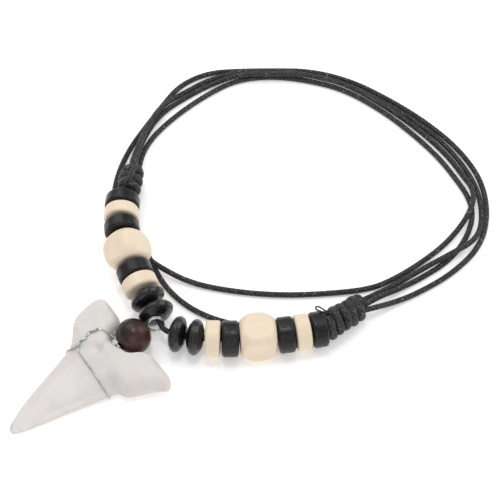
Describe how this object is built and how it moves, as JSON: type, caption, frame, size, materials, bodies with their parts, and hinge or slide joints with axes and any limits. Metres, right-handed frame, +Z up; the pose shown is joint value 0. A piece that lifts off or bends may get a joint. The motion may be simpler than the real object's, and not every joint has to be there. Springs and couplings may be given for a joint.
{
  "type": "shark tooth necklace",
  "caption": "Adjustable cord necklace with wooden beads and a wire-bound tooth pendant, lying flat in two laps.",
  "frame": {"origin": "on the surface that it lies on, under the middle of the bounding box of the beads, the bead cord and the pendant; the free neck cords and their knots are left out", "axes": "+Z up; the tooth's tip points to -Y and the neck cords lie towards +Y; the row of beads runs from left (-X) to right (+X)"},
  "size_m": [0.0816, 0.1212, 0.0098],
  "materials": {
    "black_lacquer": "black lacquered wood, high gloss",
    "pale_wood": "pale polished wood with fine straight grain, satin",
    "brown_wood": "dark reddish-brown mottled wood, polished",
    "waxed_cord": "dark charcoal waxed cotton cord, tightly braided",
    "silver_wire": "thin bright silver-coloured wire",
    "tooth": "off-white bleached tooth enamel, satin, with a chalkier root"
  },
  "bodies": {
    "root": {"bead_cord": "waxed_cord", "eye_wire": "silver_wire", "left_black_disc_4": "black_lacquer", "left_black_disc_6": "black_lacquer", "left_black_disc_8": "black_lacquer", "left_cube_5": "pale_wood", "left_knot": "waxed_cord", "left_neck_cord": "waxed_cord", "left_pale_disc_3": "pale_wood", "left_pale_disc_7": "pale_wood", "left_rondelle_1": "black_lacquer", "left_rondelle_2": "black_lacquer", "pendant_bead": "brown_wood", "right_black_disc_4": "black_lacquer", "right_black_disc_6": "black_lacquer", "right_black_disc_8": "black_lacquer", "right_cube_5": "pale_wood", "right_knot": "waxed_cord", "right_neck_cord": "waxed_cord", "right_pale_disc_3": "pale_wood", "right_pale_disc_7": "pale_wood", "right_rondelle_1": "black_lacquer", "right_rondelle_2": "black_lacquer", "shark_tooth": "tooth", "tooth_wire": "silver_wire"}
  },
  "joints": []
}
